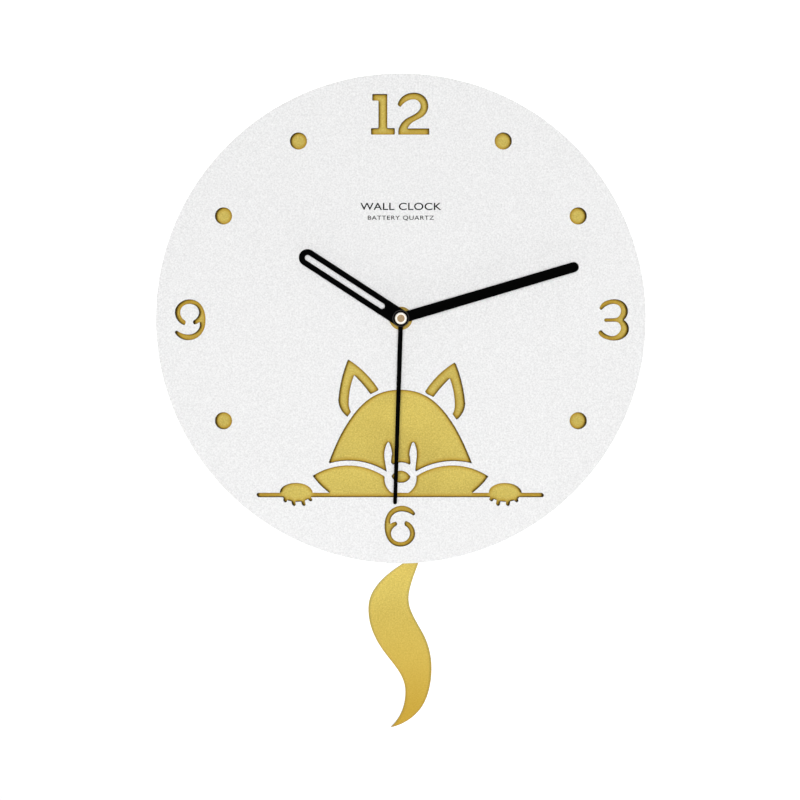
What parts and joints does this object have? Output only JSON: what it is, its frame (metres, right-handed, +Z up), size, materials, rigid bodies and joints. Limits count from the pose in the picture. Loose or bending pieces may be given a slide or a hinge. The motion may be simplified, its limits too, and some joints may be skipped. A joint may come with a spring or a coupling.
{
  "type": "pendulum wall clock",
  "caption": "Round wall clock with laser-cut white dial over gold, cut-out cat head and paws, black hands, and a gold cat tail swinging below as pendulum.",
  "frame": {"origin": "centre of the hanger's round hole, in the plane of the wall", "axes": "+Z up, the dial faces -Y, the wall is at Y = 0 on the +Y side"},
  "size_m": [0.3, 0.0394, 0.4024],
  "materials": {
    "white_board": "laser-cut fibreboard with a fine textured white satin face and burnt brown cut edges",
    "gold_board": "laser-cut fibreboard with a satin gold metallic face and burnt brown cut edges",
    "black_hand": "stamped aluminium, satin black paint",
    "bright_metal": "polished nickel plate",
    "brass": "turned brass",
    "steel": "zinc-plated steel",
    "black_plastic": "black moulded ABS with fine texture",
    "natural_plastic": "natural acetal, moulded",
    "red_plastic": "red acetal, moulded",
    "board_green": "phenolic circuit board with green solder mask",
    "chip_black": "black epoxy",
    "copper_wire": "enamelled copper wire winding",
    "magnet": "sintered ferrite",
    "black_rubber": "matt black rubber",
    "cell_wrap": "dark blue printed sleeve over a nickel-plated steel can"
  },
  "bodies": {
    "clock_body": {"front_board": "white_board", "gold_backing_plate": "gold_board", "movement_front_case": "black_plastic", "movement_rear_cover": "black_plastic", "gear_bridge": "natural_plastic", "threaded_bush": "brass", "rubber_gasket": "black_rubber", "brass_washer": "brass", "hex_nut": "brass", "wall_hanger": "steel", "circuit_board": "board_green", "clock_chip": "chip_black", "quartz_crystal": "steel", "stator": "steel", "coil_core": "steel", "coil_bobbin": "natural_plastic", "motor_coil": "copper_wire", "battery_contact_positive": "steel", "battery_contact_negative": "steel", "pendulum_coil": "copper_wire", "pendulum_circuit_board": "board_green", "pendulum_pivot_pin": "steel"},
    "minute_group": {"centre_arbor": "brass", "centre_wheel": "natural_plastic", "clutch_spring": "steel", "minute_hand": "black_hand", "minute_hand_collet": "brass"},
    "hour_group": {"hour_wheel": "natural_plastic", "hour_hand": "black_hand", "hour_hand_collet": "brass"},
    "second_group": {"seconds_wheel": "natural_plastic", "seconds_arbor": "steel", "second_hand": "black_hand", "second_hand_boss": "black_hand", "second_hand_socket": "bright_metal"},
    "transfer_group": {"transfer_wheel": "natural_plastic"},
    "third_group": {"third_wheel": "natural_plastic"},
    "rotor_group": {"rotor_magnet": "magnet", "rotor_pinion": "natural_plastic"},
    "reversing_group": {"reversing_wheel": "natural_plastic"},
    "setting_group": {"setting_knob": "red_plastic"},
    "battery_group": {"battery": "cell_wrap"},
    "pendulum_group": {"pendulum_lever": "natural_plastic", "pendulum_magnet": "magnet", "pendulum_rod": "steel", "tail": "gold_board", "tail_rivets": "steel"}
  },
  "joints": [
    {"name": "minute_spin", "type": "hinge", "parent": "clock_body", "child": "minute_group", "pos_m": [0, 0, -0.038], "axis": [0, 1, 0], "continuous": true},
    {"name": "hour_spin", "type": "hinge", "parent": "clock_body", "child": "hour_group", "pos_m": [0, 0, -0.038], "axis": [0, 1, 0], "continuous": true},
    {"name": "second_spin", "type": "hinge", "parent": "clock_body", "child": "second_group", "pos_m": [0, 0, -0.038], "axis": [0, 1, 0], "continuous": true},
    {"name": "transfer_spin", "type": "hinge", "parent": "clock_body", "child": "transfer_group", "pos_m": [-0.0106, 0, -0.03188], "axis": [0, 1, 0], "continuous": true},
    {"name": "third_spin", "type": "hinge", "parent": "clock_body", "child": "third_group", "pos_m": [0.00909, 0, -0.04325], "axis": [0, 1, 0], "continuous": true},
    {"name": "rotor_spin", "type": "hinge", "parent": "clock_body", "child": "rotor_group", "pos_m": [0.01745, 0, -0.0491], "axis": [0, 1, 0], "continuous": true},
    {"name": "reversing_spin", "type": "hinge", "parent": "clock_body", "child": "reversing_group", "pos_m": [0.0045, 0, -0.03021], "axis": [0, 1, 0], "continuous": true},
    {"name": "setting_spin", "type": "hinge", "parent": "clock_body", "child": "setting_group", "pos_m": [0.01296, 0, -0.02713], "axis": [0, 1, 0], "continuous": true},
    {"name": "tail_swing", "type": "hinge", "parent": "clock_body", "child": "pendulum_group", "pos_m": [0, 0, -0.092], "axis": [0, 1, 0], "range_deg": [-8, 8]},
    {"name": "battery_slide", "type": "slide", "parent": "clock_body", "child": "battery_group", "axis": [0, 1, 0], "range_m": [0, 0.025]}
  ],
  "couplings": [
    {"joint": "hour_spin", "follows": "minute_spin", "ratio": 0.083333},
    {"joint": "second_spin", "follows": "minute_spin", "ratio": 60},
    {"joint": "transfer_spin", "follows": "minute_spin", "ratio": -8},
    {"joint": "third_spin", "follows": "minute_spin", "ratio": -240},
    {"joint": "rotor_spin", "follows": "minute_spin", "ratio": 1800},
    {"joint": "reversing_spin", "follows": "minute_spin", "ratio": -0.33333},
    {"joint": "setting_spin", "follows": "minute_spin", "ratio": 1}
  ]
}
